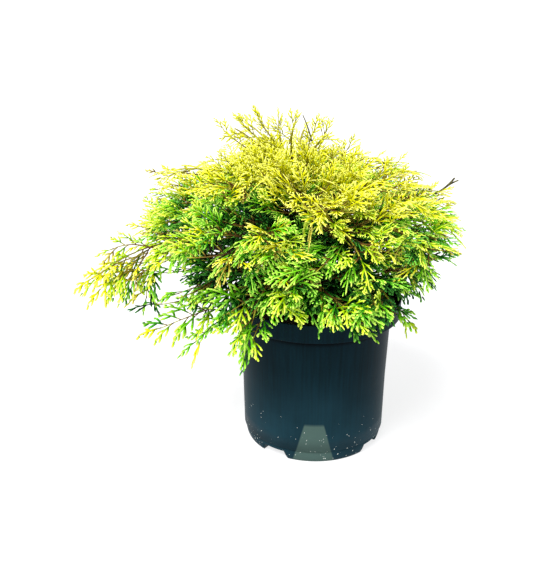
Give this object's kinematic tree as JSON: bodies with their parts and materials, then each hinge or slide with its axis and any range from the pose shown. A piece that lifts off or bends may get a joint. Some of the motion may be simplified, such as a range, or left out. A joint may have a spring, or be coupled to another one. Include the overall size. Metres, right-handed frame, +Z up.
{
  "type": "dwarf hinoki cypress in a nursery pot",
  "caption": "Young dwarf golden hinoki cypress with flat fan-shaped sprays, spreading and slightly leaning, in a dark round plastic nursery pot.",
  "frame": {"origin": "centre of the pot's flat underside", "axes": "+Z up; +X to the right as seen from the front, along the crown's longest spread; -Y is the front"},
  "size_m": [0.4165, 0.342, 0.367],
  "materials": {
    "pot": "blow-moulded dark blue-grey polyethylene with a soft satin sheen",
    "compost": "moist dark brown peat-and-bark compost, crumbly",
    "bark": "thin red-brown bark that lifts in narrow strips",
    "skirt_foliage": "lime and mid-green scale-leaf sprays, satin",
    "shoulder_foliage": "yellow-green scale-leaf sprays, satin",
    "upper_foliage": "golden-yellow scale-leaf sprays with green inside, satin",
    "crown_foliage": "bright golden-yellow scale-leaf sprays, satin",
    "long_foliage": "yellow-green scale-leaf sprays with reddish brown twigs, satin"
  },
  "bodies": {
    "root": {"pot": "pot", "compost": "compost", "trunk": "bark", "crown_foliage_01": "crown_foliage", "crown_foliage_02": "crown_foliage", "crown_foliage_03": "crown_foliage", "crown_foliage_04": "crown_foliage", "crown_foliage_05": "crown_foliage", "long_bough_01": "bark", "long_foliage_01": "long_foliage", "shoulder_bough_01": "bark", "shoulder_bough_02": "bark", "shoulder_bough_03": "bark", "shoulder_bough_04": "bark", "shoulder_bough_05": "bark", "shoulder_bough_06": "bark", "shoulder_bough_07": "bark", "shoulder_bough_08": "bark", "shoulder_bough_09": "bark", "shoulder_bough_10": "bark", "shoulder_foliage_01": "shoulder_foliage", "shoulder_foliage_02": "shoulder_foliage", "shoulder_foliage_03": "shoulder_foliage", "shoulder_foliage_04": "shoulder_foliage", "shoulder_foliage_05": "shoulder_foliage", "shoulder_foliage_06": "shoulder_foliage", "shoulder_foliage_07": "shoulder_foliage", "shoulder_foliage_08": "shoulder_foliage", "shoulder_foliage_09": "shoulder_foliage", "shoulder_foliage_10": "shoulder_foliage", "skirt_bough_01": "bark", "skirt_bough_02": "bark", "skirt_bough_03": "bark", "skirt_bough_04": "bark", "skirt_bough_05": "bark", "skirt_bough_06": "bark", "skirt_bough_07": "bark", "skirt_bough_08": "bark", "skirt_bough_09": "bark", "skirt_bough_10": "bark", "skirt_bough_11": "bark", "skirt_foliage_01": "skirt_foliage", "skirt_foliage_02": "skirt_foliage", "skirt_foliage_03": "skirt_foliage", "skirt_foliage_04": "skirt_foliage", "skirt_foliage_05": "skirt_foliage", "skirt_foliage_06": "skirt_foliage", "skirt_foliage_07": "skirt_foliage", "skirt_foliage_08": "skirt_foliage", "skirt_foliage_09": "skirt_foliage", "skirt_foliage_10": "skirt_foliage", "skirt_foliage_11": "skirt_foliage", "upper_foliage_01": "upper_foliage", "upper_foliage_02": "upper_foliage", "upper_foliage_03": "upper_foliage", "upper_foliage_04": "upper_foliage", "upper_foliage_05": "upper_foliage", "upper_foliage_06": "upper_foliage", "upper_foliage_07": "upper_foliage", "upper_foliage_08": "upper_foliage"}
  },
  "joints": []
}
